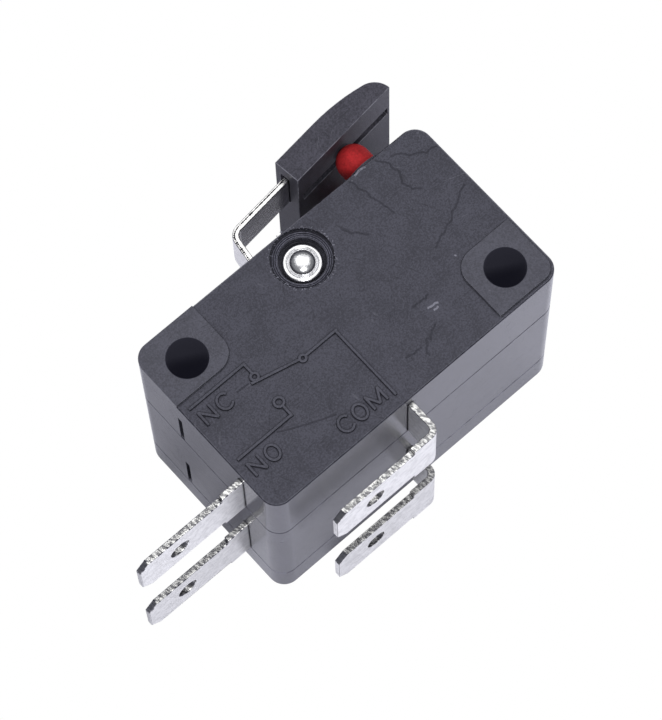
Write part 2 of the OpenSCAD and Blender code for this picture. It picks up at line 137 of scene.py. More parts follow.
class HousingSettings(bpy.types.PropertyGroup):
    """Moulded layers of the housing."""

    edge_round: length_value("Edge round", "Rounding of the moulded edges", 0.09)
    plastic: colour_value("Plastic", "Colour of the housing", (0.042, 0.042, 0.054))


class MarkSettings(bpy.types.PropertyGroup):
    """Raised contact diagram and terminal letters."""

    line_width: length_value("Line width", "Width of the diagram's lines", 0.34)
    letter_width: length_value("Letter stroke", "Width of the letters' strokes", 0.33)
    letter_height: length_value("Letter height", "Height of the capital letters", 1.6)
    relief: length_value("Relief", "How far the marks stand above the face", 0.14)


class WearSettings(bpy.types.PropertyGroup):
    """Moulding wrinkles, scuffs and burrs on the face."""

    wrinkle_width: length_value("Wrinkle width", "Widest part of a moulding wrinkle", 0.14)
    wrinkle_relief: length_value("Wrinkle relief", "How far a wrinkle stands above the face", 0.02)
    wander: length_value("Wander", "How far a wrinkle strays from its path", 0.42)
    wrinkle: colour_value("Wrinkle", "Colour of the wrinkles", (0.023, 0.023, 0.030))
    flake: colour_value("Flake", "Colour of scuffed and flaked plastic", (0.15, 0.15, 0.18))
    flecks: IntProperty(name="Flecks", description="Burrs round the rivet's recess", default=70)
    fleck_size: length_value("Fleck size", "Length of the largest burr", 0.26)
    fleck_radius: length_value("Fleck radius", "Radius of the recess that the burrs edge", 2.5)
    seed: IntProperty(name="Seed", description="Seed of the burrs", default=11)


class RivetSettings(bpy.types.PropertyGroup):
    """Rivet with a rolled rim round a domed centre."""

    shank: length_value("Shank radius", "Radius of the rivet's shank", 1.0)
    seat_depth: length_value("Seat depth", "From the rivet's highest point down to its seat", 1.1)
    rim: length_value("Rim", "Radius of the rolled rim's section", 0.225)
    rim_middle: length_value("Rim middle", "Middle radius of the rolled rim", 1.345)
    dome_radius: length_value("Dome radius", "Radius of the domed centre", 1.06)
    dome_foot: length_value("Dome foot", "Height of the dome's foot above the seat", 0.36)
    dome_rise: length_value("Dome rise", "Height of the dome above its foot", 0.62)


class LeverSettings(bpy.types.PropertyGroup):
    """Lever strip, its cap and the plungers."""

    cap_round: length_value("Cap edge round", "Rounding of the cap's edges", 0.09)
    cap: colour_value("Cap", "Colour of the lever's cap", (0.044, 0.042, 0.054))
    plunger: colour_value("Plunger", "Colour of the plungers", (0.40, 0.018, 0.021))
    burr_pitch: length_value("Burr pitch", "Spacing of the burrs on the strip's cut edge", 0.16)
    burr_size: length_value("Burr size", "Length of a burr", 0.21)
    seed: IntProperty(name="Seed", description="Seed of the uneven burrs", default=3)


class TerminalSettings(bpy.types.PropertyGroup):
    """Tinned terminals and the marks that shearing leaves on their edges."""

    width: length_value("Width", "Width of a tab", 4.8)
    thickness: length_value("Thickness", "Thickness of the sheet", 0.5)
    ridge_pitch: length_value("Ridge pitch", "Spacing of the shear ridges on cut edges", 0.17)
    ridge_height: length_value("Ridge height", "How far a shear ridge stands out", 0.03)
    seed: IntProperty(name="Seed", description="Seed of the uneven ridges", default=7)
    tin: colour_value("Tin", "Colour of the tin plating", (0.93, 0.925, 0.90))


class SpringSettings(bpy.types.PropertyGroup):
    """Tension springs of the two mechanisms."""

    wire: length_value("Wire", "Diameter of the spring wire", 0.3)
    coil_radius: length_value("Coil radius", "Middle radius of the coil", 0.78)
    turns: IntProperty(name="Turns", description="Turns of the coil", default=15)


SETTINGS = {
    "switch_stage": StageSettings,
    "switch_housing": HousingSettings,
    "switch_marks": MarkSettings,
    "switch_wear": WearSettings,
    "switch_rivet": RivetSettings,
    "switch_lever": LeverSettings,
    "switch_terminals": TerminalSettings,
    "switch_springs": SpringSettings,
}


def settings(name):
    return getattr(bpy.context.scene, "switch_" + name)


# ---------------------------------------------------------------- node helpers


def new_node(tree, kind, values=None, **attributes):
    """A node with its attributes set, and its inputs set or linked."""
    made = tree.nodes.new(kind)
    for key, value in attributes.items():
        setattr(made, key, value)
    for key, value in (values or {}).items():
        if isinstance(value, bpy.types.NodeSocket):
            tree.links.new(value, made.inputs[key])
        else:
            made.inputs[key].default_value = value
    return made


def result(tree, kind, values=None, **attributes):
    """The first output of a new node."""
    return new_node(tree, kind, values, **attributes).outputs[0]


def maths(tree, operation, *values, clamp=False):
    return result(
        tree, "ShaderNodeMath", dict(enumerate(values)), operation=operation, use_clamp=clamp)


def times(tree, first, second):
    return maths(tree, "MULTIPLY", first, second)


def plus(tree, first, second):
    return maths(tree, "ADD", first, second)


def minus(tree, first, second):
    return maths(tree, "SUBTRACT", first, second)


def vector_maths(tree, operation, first, second):
    return result(tree, "ShaderNodeVectorMath", {0: first, 1: second}, operation=operation)


def scaled(tree, vector, factor):
    return result(tree, "ShaderNodeVectorMath", {0: vector, "Scale": factor}, operation="SCALE")


def split(tree, vector):
    return new_node(tree, "ShaderNodeSeparateXYZ", {0: vector}).outputs


def noise(tree, vector, scale, detail=2.0, roughness=0.5, distortion=0.0):
    return result(tree, "ShaderNodeTexNoise", {
        "Vector": vector, "Scale": scale, "Detail": detail,
        "Roughness": roughness, "Distortion": distortion})


def ramp(tree, value, low, high, to_low=0.0, to_high=1.0):
    """Value taken smoothly from low..high to to_low..to_high."""
    return result(tree, "ShaderNodeMapRange", {
        "Value": value, 1: low, 2: high, 3: to_low, 4: to_high}, interpolation_type="SMOOTHSTEP")


def ramp_between(tree, factor, first, second):
    """first where factor is 0 and second where it is 1."""
    return result(tree, "ShaderNodeMix", {0: factor, 2: first, 3: second})


def blend_colour(tree, factor, first, second):
    """As ramp_between, for colours that are sockets or three numbers."""
    first, second = (each if isinstance(each, bpy.types.NodeSocket) else (*each, 1)
                     for each in (first, second))
    return new_node(
        tree, "ShaderNodeMix", {0: factor, 6: first, 7: second}, data_type="RGBA").outputs[2]


def layered(tree, tone, *layers):
    """Paints laid over tone one after the other, each given as mask, strength and colour."""
    for mask, strength, colour in layers:
        tone = blend_colour(tree, times(tree, mask, strength), tone, colour)
    return tone


def stretched(tree, vector, turn, scale):
    """The pattern's coordinates turned about Z, then stretched."""
    turned = result(tree, "ShaderNodeVectorRotate", {
        "Vector": vector, "Angle": math.radians(turn)}, rotation_type="Z_AXIS")
    return vector_maths(tree, "MULTIPLY", turned, scale)


def millimetres(tree):
    """Object coordinates in millimetres."""
    return scaled(tree, tree.nodes.new("ShaderNodeTexCoord").outputs["Object"], 1 / MM)


def facing(tree, axis):
    """How squarely a face looks along an axis (0 is X, 2 is Z), either way."""
    normal = tree.nodes.new("ShaderNodeNewGeometry").outputs["True Normal"]
    return maths(tree, "ABSOLUTE", split(tree, normal)[axis])


def edge_mask(tree):
    """1 on the rounded edges that rounded() marks."""
    return new_node(tree, "ShaderNodeAttribute", attribute_name="edge").outputs["Fac"]


def add_sockets(tree, in_out, rows):
    """Gives a tree its named inputs or outputs; a row may end in a default value."""
    for label, kind, *value in rows:
        socket = tree.interface.new_socket(label, in_out=in_out, socket_type="NodeSocket" + kind)
        if value:
            socket.default_value = value[0]


def shader_group(name, inputs, outputs, build):
    """The named shader group, which build wires up on its first use."""
    group = bpy.data.node_groups.get(name)
    if group is None:
        group = bpy.data.node_groups.new(name, "ShaderNodeTree")
        add_sockets(group, "INPUT", inputs)
        add_sockets(group, "OUTPUT", outputs)
        start, end = group.nodes.new("NodeGroupInput"), group.nodes.new("NodeGroupOutput")
        for label, socket in build(group, start.outputs).items():
            group.links.new(socket, end.inputs[label])
    return group


def placed_group(tree, group, values):
    """The outputs of a shader group placed in a material."""
    return new_node(tree, "ShaderNodeGroup", values, node_tree=group).outputs


def moulded_skin():
    """Fine grain of a sparked mould and the cloudy tone of filled plastic."""
    def build(tree, given):
        grain = noise(tree, given["Vector"], given["Grain"], 3.0, 0.65)
        cloud = noise(tree, given["Vector"], given["Cloud"], 4.0, 0.6, 0.4)
        tone = ramp(tree, cloud, 0.12, 0.88)
        fine = minus(tree, grain, 0.5)
        tone = plus(tree, tone, times(tree, fine, given["Fine"]))
        blotch = noise(tree, given["Vector"], 6.0, 2.0, 0.6)
        uneven = times(tree, minus(tree, blotch, 0.5), given["Mottle"])
        tone = maths(tree, "ADD", tone, uneven, clamp=True)
        return {"Height": grain, "Tone": tone}
    return shader_group("moulded_skin", [
        ("Vector", "Vector"), ("Grain", "Float", 9.0), ("Cloud", "Float", 0.5),
        ("Fine", "Float", 3.6), ("Mottle", "Float", 0.0)],
        [("Height", "Float"), ("Tone", "Float")], build)


def hair_scratches():
    """Thin scratches in three directions, broken up so that each is short."""
    def build(tree, given):
        marks = []
        for turn, long_way in ((18, 0.10), (74, 0.14), (131, 0.08)):
            lines = noise(tree, stretched(tree, given["Vector"], turn, (long_way, 1.7, 0.6)), 1.0, 1.0)
            line = maths(tree, "ABSOLUTE", minus(tree, lines, 0.5))
            line = ramp(tree, line, 0.0, given["Width"], 1.0, 0.0)
            gate = noise(tree, stretched(tree, given["Vector"], turn + 30, (0.35, 0.5, 0.4)), 1.0, 2.0)
            kept = ramp(tree, gate, given["Cover"], plus(tree, given["Cover"], 0.05))
            marks.append(times(tree, line, kept))
        both = maths(tree, "MAXIMUM", marks[0], marks[1])
        return {"Mask": maths(tree, "MAXIMUM", both, marks[2])}
    return shader_group("hair_scratches", [
        ("Vector", "Vector"), ("Width", "Float", 0.004), ("Cover", "Float", 0.55)],
        [("Mask", "Float")], build)


def lint_specks():
    """Sparse pale specks of dust."""
    def build(tree, given):
        dots = new_node(tree, "ShaderNodeTexVoronoi", {
            "Vector": given["Vector"], "Scale": given["Spread"], "Randomness": 1.0})
        dot = ramp(tree, dots.outputs["Distance"], 0.02, given["Size"], 1.0, 0.0)
        pick = result(tree, "ShaderNodeSeparateColor", {0: dots.outputs["Color"]})
        return {"Mask": times(tree, dot, ramp(tree, pick, 0.80, 0.9))}
    return shader_group("lint_specks", [
        ("Vector", "Vector"), ("Spread", "Float", 0.7), ("Size", "Float", 0.07)],
        [("Mask", "Float")], build)


def shear_marks():
    """Bars that a punch leaves across a cut edge; Run is the distance along the edge."""
    def build(tree, given):
        place = split(tree, given["Vector"])
        across = result(tree, "ShaderNodeCombineXYZ", {
            0: given["Run"], 1: times(tree, place[1], 0.5), 2: 0.0})
        bars = noise(tree, across, given["Bars"], 2.0, 0.7)
        return {"Mask": ramp(tree, bars, 0.40, 0.58), "Height": bars}
    return shader_group("shear_marks", [
        ("Vector", "Vector"), ("Run", "Float", 0.0), ("Bars", "Float", 5.0)],
        [("Mask", "Float"), ("Height", "Float")], build)


def crevice_shade():
    """Painted shade in corners, where little open sky reaches: 1 deep in a corner and 0 in the open."""
    def build(tree, given):
        open_sky = new_node(
            tree, "ShaderNodeAmbientOcclusion", {"Distance": given["Reach"]}, samples=8).outputs["AO"]
        return {"Mask": ramp(tree, open_sky, given["Full"], given["Clean"], 1.0, 0.0)}
    return shader_group("crevice_shade", [
        ("Reach", "Float", 0.25 * MM), ("Full", "Float", 0.45), ("Clean", "Float", 0.85)],
        [("Mask", "Float")], build)


def edge_wear_and_highlight():
    """Rubbed edges, partly real wear and partly a painted highlight, broken into short runs; Edge is 1 on
    the rounded edges of a piece.
    """
    def build(tree, given):
        runs = noise(tree, given["Vector"], given["Runs"], 3.0, 0.6)
        return {"Mask": times(tree, given["Edge"], ramp(tree, runs, 0.36, 0.58, 0.25, 1.0))}
    return shader_group("edge_wear_and_highlight", [
        ("Vector", "Vector"), ("Edge", "Float", 0.0), ("Runs", "Float", 1.6)],
        [("Mask", "Float")], build)


def bore_shade():
    """Masks for the painted shade in the two mounting holes: Inside is 1 in the holes; Rim is 1 on the
    rounded lip of each of them.
    """
    def build(tree, given):
        inside, rim = [], []
        for hole in HOLES:
            offset = vector_maths(tree, "SUBTRACT", given["Vector"], Vector(hole["pos_m"]) / MM)
            flat = vector_maths(tree, "MULTIPLY", offset, (1, 1, 0))
            away = new_node(
                tree, "ShaderNodeVectorMath", {0: flat}, operation="LENGTH").outputs["Value"]
            reach = hole["dims"]["r_mm"]
            inside.append(ramp(tree, away, reach + 0.02, reach + 0.04, 1.0, 0.0))
            rim.append(ramp(tree, away, reach + 0.10, reach + 0.15, 1.0, 0.0))
        inside = maths(tree, "MAXIMUM", *inside)
        rim = minus(tree, maths(tree, "MAXIMUM", *rim), inside)
        return {"Inside": inside, "Rim": rim}
    return shader_group("bore_shade", [("Vector", "Vector")],
                        [("Inside", "Float"), ("Rim", "Float")], build)


# ---------------------------------------------------------------- finishes

# Painted shade for corners and for the sloping sides of raised marks.
PAINTED_SHADE = (0.004, 0.004, 0.006)
DUST = (0.3, 0.3, 0.33)
HAIRLINE = (0.16, 0.16, 0.19)
# Lighter colour of rubbed edges: partly wear, partly a painted highlight.
RUBBED_AND_HIGHLIGHT = (0.26, 0.26, 0.30)
# Painted shade inside the mounting holes, and a painted glow that lifts it off black.
BORE_PAINTED_SHADE = (0.022, 0.022, 0.030)
BORE_GLOW = (0.0065, 0.0065, 0.0105)
STAIN = (0.30, 0.30, 0.33)
SHEARED = (0.07, 0.07, 0.085)
# Painted shade of tilted facets.
FACET_SHADE = (0.24, 0.24, 0.27)
# Painted shade in the corners of metal.
METAL_CORNER_SHADE = (0.05, 0.05, 0.06)
# How far the painted corner shade looks for nearby surfaces.
SHADE_REACH = 0.3 * MM


def shade(colour, factor):
    return tuple(channel * factor for channel in colour)


def new_material(name, colour, **values):
    """A material with a Principled shader, and its node tree and shader."""
    material = bpy.data.materials.new(name)
    material.use_nodes = True
    tree = material.node_tree
    shader = next(n for n in tree.nodes if n.type == "BSDF_PRINCIPLED")
    shader.inputs["Base Color"].default_value = (*colour, 1)
    for key, value in values.items():
        shader.inputs[key.replace("_", " ")].default_value = value
    return material, tree, shader


def finish(tree, shader, tone, rough, height, depth):
    """Joins the colour, the roughness and a bump of the given depth to the shader."""
    relief = result(tree, "ShaderNodeBump", {"Height": height, "Distance": depth, "Strength": 1.0})
    for key, value in (("Base Color", tone), ("Roughness", rough), ("Normal", relief)):
        tree.links.new(value, shader.inputs[key])


def moulded_plastic(name, colour, roughness, grain=9.0, relief=0.022, scratches=0.6,
                    wall_roughness=None, wear=RUBBED_AND_HIGHLIGHT, corner_shade=0.4, fine=3.6, flank_shade=0.0,
                    tint=(0.84, 0.84, 1.0), shine=0.5):
    """Filled plastic: clouded tone, fine grain, hair scratches, specks, rubbed edges with a painted
    highlight, and painted shade in corners and holes.

    grain and fine are the scale and strength of the mould's grain and relief its depth in
    millimetres. A higher value of scratches leaves fewer of them. wall_roughness is for the
    polished upright faces, and flank_shade paints shade on the sloping sides of a raised mark. wear is
    the colour of the rubbed edges, partly a painted highlight.
    """
    material, tree, shader = new_material(
        name, colour, Specular_Tint=(*tint, 1), Specular_IOR_Level=shine, Emission_Strength=1.0)
    place = millimetres(tree)
    level = ramp(tree, facing(tree, 2), 0.6, 0.9)
    skin = placed_group(tree, moulded_skin(), {
        "Vector": place, "Grain": grain, "Cloud": 0.45, "Fine": fine,
        "Mottle": times(tree, level, 0.8 * fine)})
    scratch = placed_group(tree, hair_scratches(), {
        "Vector": place, "Width": 0.006, "Cover": scratches})["Mask"]
    crease = placed_group(tree, hair_scratches(), {
        "Vector": stretched(tree, place, 47, (1.7, 1.7, 1.7)), "Width": 0.014,
        "Cover": scratches - 0.06})["Mask"]
    speck = placed_group(tree, lint_specks(), {"Vector": place, "Spread": 0.55, "Size": 0.05})["Mask"]
    bore = placed_group(tree, bore_shade(), {"Vector": place})
    edge = times(tree, edge_mask(tree), ramp(tree, bore["Rim"], 0.0, 1.0, 1.0, 0.3))
    # Rounded edges painted lighter, partly as wear and partly as a painted highlight.
    rubbed_and_lit = placed_group(tree, edge_wear_and_highlight(), {"Vector": place, "Edge": edge})["Mask"]
    # Painted shade in corners, from ambient occlusion.
    corner = placed_group(tree, crevice_shade(), {"Reach": SHADE_REACH})["Mask"]
    proud = ramp(tree, split(tree, place)[2], (FACE_Z + 0.6 * PAD_HEIGHT) / MM,
                 (FACE_Z + 0.8 * PAD_HEIGHT) / MM)
    tone = blend_colour(tree, skin["Tone"], shade(colour, 0.62), shade(colour, 1.46))
    # Painted shade sits in three of these layers, in corners, inside the holes and on the sloping sides
    # of raised marks; the rubbed edges are partly a painted highlight.
    tone = layered(
        tree, tone, (times(tree, crease, level), 0.6, shade(colour, 0.2)), (scratch, 0.35, HAIRLINE),
        (speck, 0.7, DUST), (rubbed_and_lit, 0.75, wear), (proud, 0.10, wear), (corner, corner_shade, PAINTED_SHADE),
        (bore["Inside"], 1.0, BORE_PAINTED_SHADE), (minus(tree, 1.0, level), flank_shade, PAINTED_SHADE))
    rough = plus(tree, roughness, times(tree, minus(tree, skin["Tone"], 0.5), 0.08))
    height = skin["Height"]
    if wall_roughness is not None:
        polished = plus(tree, wall_roughness, times(tree, skin["Tone"], 0.05))
        rough = ramp_between(tree, level, polished, rough)
        height = times(tree, height, ramp(tree, level, 0.0, 1.0, 0.25, 1.0))
    height = minus(tree, height, times(tree, scratch, 0.6))
    height = times(tree, height, minus(tree, 1.0, bore["Inside"]))
    dull = maths(tree, "MAXIMUM", bore["Inside"], times(tree, corner, corner_shade))
    finish(tree, shader, tone, ramp_between(tree, dull, rough, 1.0), height, relief * MM)
    # A painted glow inside the holes, though they give off no light.
    tree.links.new(blend_colour(tree, bore["Inside"], (0, 0, 0), BORE_GLOW),
                   shader.inputs["Emission Color"])
    return material


def plated_sheet(name, colour, roughness, bars=4.5, cut_marks=0.8, turn=0.0):
    """Bright plated sheet: cloudy plating, rolling lines, shear bars on the cut edges, and painted shade
    on tilted facets and in corners.
    """
    material, tree, shader = new_material(name, colour, Metallic=1.0)
    place = millimetres(tree)
    cloud = noise(tree, place, 1.6, 4.0, 0.6, 0.6)
    rolled = noise(tree, stretched(tree, place, turn, (0.25, 6.0, 6.0)), 1.0, 2.0)
    pits = noise(tree, place, 7.0, 2.0, 0.6)
    upright = facing(tree, 2)
    cut = ramp(tree, upright, 0.5, 0.8)
    # Painted shade on faces tilted between X and Z, such as the chamfered tips.
    facet_shade = times(tree, ramp(tree, facing(tree, 0), 0.45, 0.6), ramp(tree, upright, 0.45, 0.6))
    axes = split(tree, place)
    run = plus(tree, axes[0], times(tree, axes[1], 0.35))
    bar = placed_group(tree, shear_marks(), {"Vector": place, "Run": run, "Bars": bars})
    # Painted shade in the sheet's corners, from ambient occlusion.
    corner = placed_group(tree, crevice_shade(), {"Reach": SHADE_REACH})["Mask"]
    dark = times(tree, times(tree, cut, cut_marks), bar["Mask"])
    hatched = times(tree, edge_mask(tree), bar["Mask"])
    tone = blend_colour(tree, ramp(tree, cloud, 0.35, 0.7), colour, shade(colour, 0.8))
    tone = layered(
        tree, tone, (ramp(tree, pits, 0.60, 0.72), 0.35, STAIN),
        (maths(tree, "MAXIMUM", dark, hatched), 1.0, SHEARED), (facet_shade, 0.8, FACET_SHADE),
        (corner, 1.0, METAL_CORNER_SHADE))
    rough = plus(tree, roughness, times(tree, cloud, 0.16))
    height = plus(tree, times(tree, rolled, 0.25), times(tree, pits, 0.3))
    height = plus(tree, height, times(tree, times(tree, cut, bar["Height"]), 2.0 * cut_marks))
    finish(tree, shader, tone, rough, height, 0.02 * MM)
    return material


def turned_metal(name, colour, roughness, centre=None):
    """Smooth pressed or drawn metal with soft stains, and faint rings about a centre."""
    material, tree, shader = new_material(name, colour, Metallic=1.0)
    place = millimetres(tree)
    cloud = noise(tree, place, 2.2, 4.0, 0.6, 0.5)
    stain = times(tree, ramp(tree, cloud, 0.45, 0.7), 0.35)
    tone = blend_colour(tree, stain, colour, shade(colour, 0.5))
    height = noise(tree, place, 5.0, 3.0, 0.6)
    if centre is not None:
        axes = split(tree, vector_maths(
            tree, "SUBTRACT", place, (centre[0] / MM, centre[1] / MM, 0)))
        squares = [times(tree, axis, axis) for axis in (axes[0], axes[1])]
        radius = maths(tree, "SQRT", plus(tree, *squares))
        rings = maths(tree, "SINE", times(tree, radius, 40.0))
        height = plus(tree, height, times(tree, rings, 0.03))
    finish(tree, shader, tone, plus(tree, roughness, times(tree, cloud, 0.12)), height, 0.012 * MM)
    return material


# ---------------------------------------------------------------- mesh helpers


def merged_copy(node, name):
    """A clean copy of a CAD solid: doubles merged and flat faces joined."""
    mesh = frame["nodes"][node].data.copy()
    mesh.name = name
    mesh.materials.clear()
    body = bmesh.new()
    body.from_mesh(mesh)
    bmesh.ops.remove_doubles(body, verts=body.verts, dist=0.001 * MM)
    bmesh.ops.dissolve_limit(
        body, angle_limit=math.radians(0.5), verts=body.verts, edges=body.edges,
        use_dissolve_boundaries=False)
    body.to_mesh(mesh)
    body.free()
    return mesh


def smooth(mesh, angle=32):
    mesh.polygons.foreach_set("use_smooth", [True] * len(mesh.polygons))
    mesh.set_sharp_from_angle(angle=math.radians(angle))
    return mesh


def evaluated_mesh(piece):
    """What the piece's modifiers make of it, as a plain mesh; the piece itself goes."""
    bpy.context.view_layer.update()
    done = bpy.data.meshes.new_from_object(
        piece.evaluated_get(bpy.context.evaluated_depsgraph_get()))
    bpy.data.objects.remove(piece)
    return done


def rounded(mesh, width, segments=2, angle=25):
    """The mesh with its sharp edges rounded, flats kept flat, and the rounds marked as edge."""
    smooth(mesh, angle)
    for _ in range(2):
        mesh.materials.append(None)
    holder = bpy.data.objects.new("rounding", mesh)
    bpy.context.scene.collection.objects.link(holder)
    bevel = holder.modifiers.new("round", "BEVEL")
    bevel.width = width
    bevel.segments = segments
    bevel.limit_method = "ANGLE"
    bevel.angle_limit = math.radians(angle)
    bevel.miter_outer = "MITER_ARC"
    bevel.use_clamp_overlap = True
    bevel.material = 1
    flats = holder.modifiers.new("flats", "WEIGHTED_NORMAL")
    flats.keep_sharp = True
    done = evaluated_mesh(holder)
    on_edge = [0] * len(done.polygons)
    done.polygons.foreach_get("material_index", on_edge)
    done.attributes.new("edge", "FLOAT", "FACE").data.foreach_set("value", [float(i) for i in on_edge])
    done.polygons.foreach_set("material_index", [0] * len(done.polygons))
    return done


def show(mesh, name, body, slot, material, *nodes):
    """Links a finished mesh as a piece on its body, in place of the named CAD solids."""
    mesh.name = name
    mesh.materials.clear()
    mesh.materials.append(material)
    piece = bpy.data.objects.new(name, mesh)
    bpy.context.scene.collection.objects.link(piece)
    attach(piece, body)
    if nodes:
        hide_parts(*nodes)
    return piece


def dress(node, body, slot, material, width=0.05 * MM, segments=2):
    """Shows a rounded copy of one CAD solid with its finish."""
    mesh = rounded(merged_copy(node, node), width, segments)
    return show(mesh, node + "_dressed", body, slot, material, node)


def ring(x, y, radius, steps):
    """Points evenly round a circle."""
    return [(x + radius * math.cos(math.tau * i / steps), y + radius * math.sin(math.tau * i / steps))
            for i in range(steps)]


def lathe(profile, x, y, steps=64):
    """Closed solid turned from (radius, height) points about an upright axis."""
    body = bmesh.new()
    rings = []
    for radius, height in profile:
        spots = ring(x, y, radius, steps) if radius else [(x, y)]
        rings.append([body.verts.new((*spot, height)) for spot in spots])
    for low, high in zip(rings, rings[1:]):
        for i in range(steps):
            j = (i + 1) % steps
            corners = [low[i % len(low)], low[j % len(low)], high[j % len(high)], high[i % len(high)]]
            body.faces.new(list(dict.fromkeys(corners)))
    bmesh.ops.recalc_face_normals(body, faces=body.faces)
    mesh = bpy.data.meshes.new("turned")
    body.to_mesh(mesh)
    body.free()
    return mesh


# ---------------------------------------------------------------- geometry node trees


def geometry_tree(name, inputs):
    """A geometry tree with one mesh or curve in and out, named inputs and a material."""
    tree = bpy.data.node_groups.new(name, "GeometryNodeTree")
    add_sockets(tree, "INPUT", [("Geometry", "Geometry"), *inputs, ("Material", "Material")])
    add_sockets(tree, "OUTPUT", [("Geometry", "Geometry")])
    return tree, tree.nodes.new("NodeGroupInput").outputs


def close_tree(tree, given, geometry):
    """Ends the tree in Realize Instances and Set Material."""
    real = result(tree, "GeometryNodeRealizeInstances", {0: geometry})
    done = result(tree, "GeometryNodeSetMaterial", {"Geometry": real, "Material": given["Material"]})
    tree.links.new(done, tree.nodes.new("NodeGroupOutput").inputs[0])
    return tree


def grown(tree, values, start=None):
    """The mesh that a geometry tree makes from a curve or from nothing, with its inputs set."""
    holder = bpy.data.objects.new("grown", start or bpy.data.meshes.new("start"))
    bpy.context.scene.collection.objects.link(holder)
    modifier = holder.modifiers.new("grow", "NODES")
    modifier.node_group = tree
    for item in tree.interface.items_tree:
        if item.item_type == "SOCKET" and item.in_out == "INPUT" and item.name in values:
            modifier[item.identifier] = values[item.name]
    return evaluated_mesh(holder)


def bead_section(tree, width, top, relief):
    return result(tree, "GeometryNodeCurvePrimitiveQuadrilateral", {
        "Bottom Width": width, "Top Width": top, "Offset": 0.0, "Height": relief}, mode="TRAPEZOID")


def swept(tree, path, section):
    """The section carried upright along a flat path, closed at its ends."""
    upright = result(tree, "GeometryNodeSetCurveNormal", {0: path}, mode="Z_UP")
    return result(tree, "GeometryNodeCurveToMesh", {
        "Curve": upright, "Profile Curve": section, "Fill Caps": True})


def random_vector(tree, low, high, seed):
    return result(tree, "FunctionNodeRandomValue", {
        "Min": low, "Max": high, "Seed": seed}, data_type="FLOAT_VECTOR")


def instances(tree, points, instance, **values):
    return result(tree, "GeometryNodeInstanceOnPoints", {
        "Points": points, "Instance": instance, **values})


def moulded_stroke_tree():
    """Sweeps a flat-topped bead with sloping sides along flat paths."""
    tree, given = geometry_tree("moulded_stroke", [
        ("Width", "Float", 0.3 * MM), ("Top", "Float", 0.2 * MM), ("Relief", "Float", 0.1 * MM)])
    section = bead_section(tree, given["Width"], given["Top"], given["Relief"])
    eased = result(tree, "GeometryNodeFilletCurve", {
        "Curve": section, "Radius": times(tree, given["Relief"], 0.5), "Count": 3}, mode="POLY")
    return close_tree(tree, given, swept(tree, given["Geometry"], eased))


def crooked_line_tree():
    """Sweeps thin lines of uneven width that wander a little from their paths."""
    tree, given = geometry_tree("crooked_line", [
        ("Width", "Float", 0.1 * MM), ("Relief", "Float", 0.02 * MM), ("Wander", "Float", 0.1 * MM)])
    wander_scale, girth_scale = 1.5 / MM, 1.8 / MM
    fine = result(tree, "GeometryNodeResampleCurve", {
        "Curve": given["Geometry"], "Length": 0.09 * MM}, mode="LENGTH")
    place = result(tree, "GeometryNodeInputPosition")
    drift = new_node(tree, "ShaderNodeTexNoise", {
        "Vector": place, "Scale": wander_scale, "Detail": 2.0}).outputs["Color"]
    centred = vector_maths(tree, "SUBTRACT", drift, (0.5, 0.5, 0.5))
    flat = vector_maths(tree, "MULTIPLY", centred, (2, 2, 0))
    bent = result(tree, "GeometryNodeSetPosition", {
        "Geometry": fine, "Offset": scaled(tree, flat, given["Wander"])})
    girth = result(tree, "ShaderNodeMapRange", {
        "Value": noise(tree, place, girth_scale, 3.0), 1: 0.42, 2: 0.62, 3: 0.1, 4: 1.15})
    uneven = result(tree, "GeometryNodeSetCurveRadius", {"Curve": bent, "Radius": girth})
    section = bead_section(tree, given["Width"], given["Relief"], given["Relief"])
    return close_tree(tree, given, swept(tree, uneven, section))


def fleck_ring_tree():
    """Scatters uneven flecks round a circle, as a countersink leaves its burrs."""
    tree, given = geometry_tree("fleck_ring", [
        ("Count", "Int", 60), ("Radius", "Float", 2.5 * MM), ("Size", "Float", 0.2 * MM),
        ("Centre", "Vector", (0, 0, 0)), ("Seed", "Int", 1)])
    stray = 0.16 * MM
    circle = result(tree, "GeometryNodeCurvePrimitiveCircle", {
        "Resolution": given["Count"], "Radius": given["Radius"]})
    spots = result(tree, "GeometryNodeCurveToPoints", {"Curve": circle}, mode="EVALUATED")
    fleck = result(tree, "GeometryNodeMeshIcoSphere", {"Radius": 0.5, "Subdivisions": 2})
    uneven = random_vector(tree, (0.25, 0.15, 0.1), (1.0, 0.45, 0.25), given["Seed"])
    nudge = random_vector(tree, (-stray, -stray, 0), (stray, stray, 0), given["Seed"])
    moved = result(tree, "GeometryNodeSetPosition", {"Geometry": spots, "Offset": nudge})
    placed = instances(
        tree, moved, fleck, Rotation=random_vector(tree, (0, 0, 0), (0, 0, 6.28), given["Seed"]),
        Scale=scaled(tree, uneven, given["Size"]))
    around = result(tree, "GeometryNodeTransform", {
        "Geometry": placed, "Translation": given["Centre"]})
    return close_tree(tree, given, around)


def burr_row_tree():
    """Sets uneven little burrs along a path at an even pitch."""
    tree, given = geometry_tree("burr_row", [
        ("Pitch", "Float", 0.2 * MM), ("Size", "Float", 0.1 * MM), ("Seed", "Int", 1)])
    spots = result(tree, "GeometryNodeCurveToPoints", {
        "Curve": given["Geometry"], "Length": given["Pitch"]}, mode="LENGTH")
    burr = result(tree, "GeometryNodeMeshIcoSphere", {"Radius": 0.5, "Subdivisions": 1})
    uneven = random_vector(tree, (0.5, 0.4, 0.2), (1.4, 1.0, 0.5), given["Seed"])
    return close_tree(tree, given, instances(
        tree, spots, burr, Scale=scaled(tree, uneven, given["Size"])))


